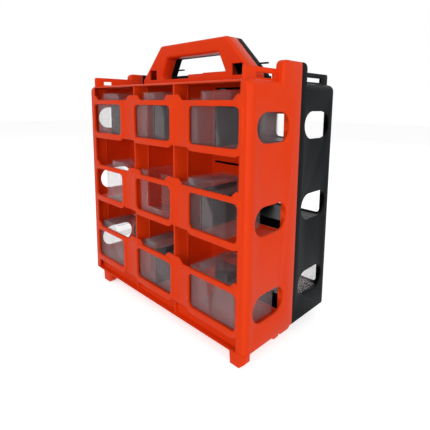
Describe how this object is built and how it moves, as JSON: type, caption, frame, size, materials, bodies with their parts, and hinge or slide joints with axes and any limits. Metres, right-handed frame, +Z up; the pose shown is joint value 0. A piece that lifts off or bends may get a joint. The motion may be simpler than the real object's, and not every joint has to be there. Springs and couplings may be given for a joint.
{
  "type": "two-sided small parts case",
  "caption": "Carry case made of two moulded halves with windowed cells, a split handle and clear lidded bins with dividers.",
  "frame": {"origin": "centre of the footprint at the ground", "axes": "+X to the right along the front face, +Y from the front face to the rear face, +Z up"},
  "size_m": [0.36, 0.1906, 0.4075],
  "materials": {
    "orange_plastic": "moulded, lightly glossy",
    "black_plastic": "moulded, lightly glossy",
    "clear_plastic": "clear polystyrene, polished",
    "zinc_steel": "zinc plated"
  },
  "bodies": {
    "case": {"front_case": "orange_plastic", "rear_case": "black_plastic", "front_handle": "orange_plastic", "rear_handle": "black_plastic", "case_screws": "zinc_steel"},
    "front_bin_top_left": {"front_bin_top_left": "clear_plastic", "front_divider_top_left": "black_plastic"},
    "front_lid_top_left": {"front_lid_top_left": "clear_plastic"},
    "front_bin_top_centre": {"front_bin_top_centre": "clear_plastic", "front_divider_top_centre": "black_plastic"},
    "front_lid_top_centre": {"front_lid_top_centre": "clear_plastic"},
    "front_bin_top_right": {"front_bin_top_right": "clear_plastic", "front_divider_top_right": "black_plastic"},
    "front_lid_top_right": {"front_lid_top_right": "clear_plastic"},
    "front_bin_middle_left": {"front_bin_middle_left": "clear_plastic"},
    "front_lid_middle_left": {"front_lid_middle_left": "clear_plastic"},
    "front_pick_bin_middle_centre": {"front_pick_bin_middle_centre": "clear_plastic"},
    "front_bin_middle_right": {"front_bin_middle_right": "clear_plastic", "front_divider_middle_right": "black_plastic"},
    "front_lid_middle_right": {"front_lid_middle_right": "clear_plastic"},
    "front_bin_bottom_left": {"front_bin_bottom_left": "clear_plastic"},
    "front_lid_bottom_left": {"front_lid_bottom_left": "clear_plastic"},
    "front_bin_bottom_centre": {"front_bin_bottom_centre": "clear_plastic", "front_divider_bottom_centre": "black_plastic"},
    "front_lid_bottom_centre": {"front_lid_bottom_centre": "clear_plastic"},
    "front_bin_bottom_right": {"front_bin_bottom_right": "clear_plastic"},
    "front_lid_bottom_right": {"front_lid_bottom_right": "clear_plastic"},
    "rear_bin_top_left": {"rear_bin_top_left": "clear_plastic"},
    "rear_lid_top_left": {"rear_lid_top_left": "clear_plastic"},
    "rear_bin_top_centre": {"rear_bin_top_centre": "clear_plastic"},
    "rear_lid_top_centre": {"rear_lid_top_centre": "clear_plastic"},
    "rear_bin_middle_left": {"rear_bin_middle_left": "clear_plastic"},
    "rear_lid_middle_left": {"rear_lid_middle_left": "clear_plastic"},
    "rear_bin_middle_centre": {"rear_bin_middle_centre": "clear_plastic"},
    "rear_lid_middle_centre": {"rear_lid_middle_centre": "clear_plastic"},
    "rear_bin_bottom_left": {"rear_bin_bottom_left": "clear_plastic"},
    "rear_lid_bottom_left": {"rear_lid_bottom_left": "clear_plastic"},
    "rear_bin_bottom_centre": {"rear_bin_bottom_centre": "clear_plastic"},
    "rear_lid_bottom_centre": {"rear_lid_bottom_centre": "clear_plastic"},
    "rear_bin_bottom_right": {"rear_bin_bottom_right": "clear_plastic"},
    "rear_lid_bottom_right": {"rear_lid_bottom_right": "clear_plastic"}
  },
  "joints": [
    {"name": "front_bin_top_left_lift", "type": "slide", "parent": "case", "child": "front_bin_top_left", "axis": [0, 0, 1], "range_m": [0, 0.003]},
    {"name": "front_lid_top_left_hinge", "type": "hinge", "parent": "front_bin_top_left", "child": "front_lid_top_left", "pos_m": [-0.118, -0.0208, 0.3208], "axis": [-1, 0, 0], "range_deg": [0, 4]},
    {"name": "front_bin_top_centre_lift", "type": "slide", "parent": "case", "child": "front_bin_top_centre", "axis": [0, 0, 1], "range_m": [0, 0.003]},
    {"name": "front_lid_top_centre_hinge", "type": "hinge", "parent": "front_bin_top_centre", "child": "front_lid_top_centre", "pos_m": [0, -0.0208, 0.3208], "axis": [-1, 0, 0], "range_deg": [0, 4]},
    {"name": "front_bin_top_right_lift", "type": "slide", "parent": "case", "child": "front_bin_top_right", "axis": [0, 0, 1], "range_m": [0, 0.003]},
    {"name": "front_lid_top_right_hinge", "type": "hinge", "parent": "front_bin_top_right", "child": "front_lid_top_right", "pos_m": [0.123, -0.0208, 0.3208], "axis": [-1, 0, 0], "range_deg": [0, 4]},
    {"name": "front_bin_middle_left_lift", "type": "slide", "parent": "case", "child": "front_bin_middle_left", "axis": [0, 0, 1], "range_m": [0, 0.006]},
    {"name": "front_lid_middle_left_hinge", "type": "hinge", "parent": "front_bin_middle_left", "child": "front_lid_middle_left", "pos_m": [-0.095, -0.0208, 0.2101], "axis": [-1, 0, 0], "range_deg": [0, 28]},
    {"name": "front_pick_bin_middle_centre_lift", "type": "slide", "parent": "case", "child": "front_pick_bin_middle_centre", "axis": [0, 0, 1], "range_m": [0, 0.04]},
    {"name": "front_bin_middle_right_lift", "type": "slide", "parent": "case", "child": "front_bin_middle_right", "axis": [0, 0, 1], "range_m": [0, 0.006]},
    {"name": "front_lid_middle_right_hinge", "type": "hinge", "parent": "front_bin_middle_right", "child": "front_lid_middle_right", "pos_m": [0.099, -0.0208, 0.2101], "axis": [-1, 0, 0], "range_deg": [0, 28]},
    {"name": "front_bin_bottom_left_lift", "type": "slide", "parent": "case", "child": "front_bin_bottom_left", "axis": [0, 0, 1], "range_m": [0, 0.006]},
    {"name": "front_lid_bottom_left_hinge", "type": "hinge", "parent": "front_bin_bottom_left", "child": "front_lid_bottom_left", "pos_m": [-0.128, -0.0208, 0.0994], "axis": [-1, 0, 0], "range_deg": [0, 28]},
    {"name": "front_bin_bottom_centre_lift", "type": "slide", "parent": "case", "child": "front_bin_bottom_centre", "axis": [0, 0, 1], "range_m": [0, 0.006]},
    {"name": "front_lid_bottom_centre_hinge", "type": "hinge", "parent": "front_bin_bottom_centre", "child": "front_lid_bottom_centre", "pos_m": [0, -0.0208, 0.0994], "axis": [-1, 0, 0], "range_deg": [0, 28]},
    {"name": "front_bin_bottom_right_lift", "type": "slide", "parent": "case", "child": "front_bin_bottom_right", "axis": [0, 0, 1], "range_m": [0, 0.006]},
    {"name": "front_lid_bottom_right_hinge", "type": "hinge", "parent": "front_bin_bottom_right", "child": "front_lid_bottom_right", "pos_m": [0.123, -0.0208, 0.0994], "axis": [-1, 0, 0], "range_deg": [0, 28]},
    {"name": "rear_bin_top_left_lift", "type": "slide", "parent": "case", "child": "rear_bin_top_left", "axis": [0, 0, 1], "range_m": [0, 0.003]},
    {"name": "rear_lid_top_left_hinge", "type": "hinge", "parent": "rear_bin_top_left", "child": "rear_lid_top_left", "pos_m": [-0.123, 0.0208, 0.3208], "axis": [1, 0, 0], "range_deg": [0, 4]},
    {"name": "rear_bin_top_centre_lift", "type": "slide", "parent": "case", "child": "rear_bin_top_centre", "axis": [0, 0, 1], "range_m": [0, 0.003]},
    {"name": "rear_lid_top_centre_hinge", "type": "hinge", "parent": "rear_bin_top_centre", "child": "rear_lid_top_centre", "pos_m": [0, 0.0208, 0.3208], "axis": [1, 0, 0], "range_deg": [0, 4]},
    {"name": "rear_bin_middle_left_lift", "type": "slide", "parent": "case", "child": "rear_bin_middle_left", "axis": [0, 0, 1], "range_m": [0, 0.006]},
    {"name": "rear_lid_middle_left_hinge", "type": "hinge", "parent": "rear_bin_middle_left", "child": "rear_lid_middle_left", "pos_m": [-0.123, 0.0208, 0.2101], "axis": [1, 0, 0], "range_deg": [0, 28]},
    {"name": "rear_bin_middle_centre_lift", "type": "slide", "parent": "case", "child": "rear_bin_middle_centre", "axis": [0, 0, 1], "range_m": [0, 0.006]},
    {"name": "rear_lid_middle_centre_hinge", "type": "hinge", "parent": "rear_bin_middle_centre", "child": "rear_lid_middle_centre", "pos_m": [0, 0.0208, 0.2101], "axis": [1, 0, 0], "range_deg": [0, 28]},
    {"name": "rear_bin_bottom_left_lift", "type": "slide", "parent": "case", "child": "rear_bin_bottom_left", "axis": [0, 0, 1], "range_m": [0, 0.006]},
    {"name": "rear_lid_bottom_left_hinge", "type": "hinge", "parent": "rear_bin_bottom_left", "child": "rear_lid_bottom_left", "pos_m": [-0.123, 0.0208, 0.0994], "axis": [1, 0, 0], "range_deg": [0, 28]},
    {"name": "rear_bin_bottom_centre_lift", "type": "slide", "parent": "case", "child": "rear_bin_bottom_centre", "axis": [0, 0, 1], "range_m": [0, 0.006]},
    {"name": "rear_lid_bottom_centre_hinge", "type": "hinge", "parent": "rear_bin_bottom_centre", "child": "rear_lid_bottom_centre", "pos_m": [0, 0.0208, 0.0994], "axis": [1, 0, 0], "range_deg": [0, 28]},
    {"name": "rear_bin_bottom_right_lift", "type": "slide", "parent": "case", "child": "rear_bin_bottom_right", "axis": [0, 0, 1], "range_m": [0, 0.006]},
    {"name": "rear_lid_bottom_right_hinge", "type": "hinge", "parent": "rear_bin_bottom_right", "child": "rear_lid_bottom_right", "pos_m": [0.123, 0.0208, 0.0994], "axis": [1, 0, 0], "range_deg": [0, 28]}
  ]
}
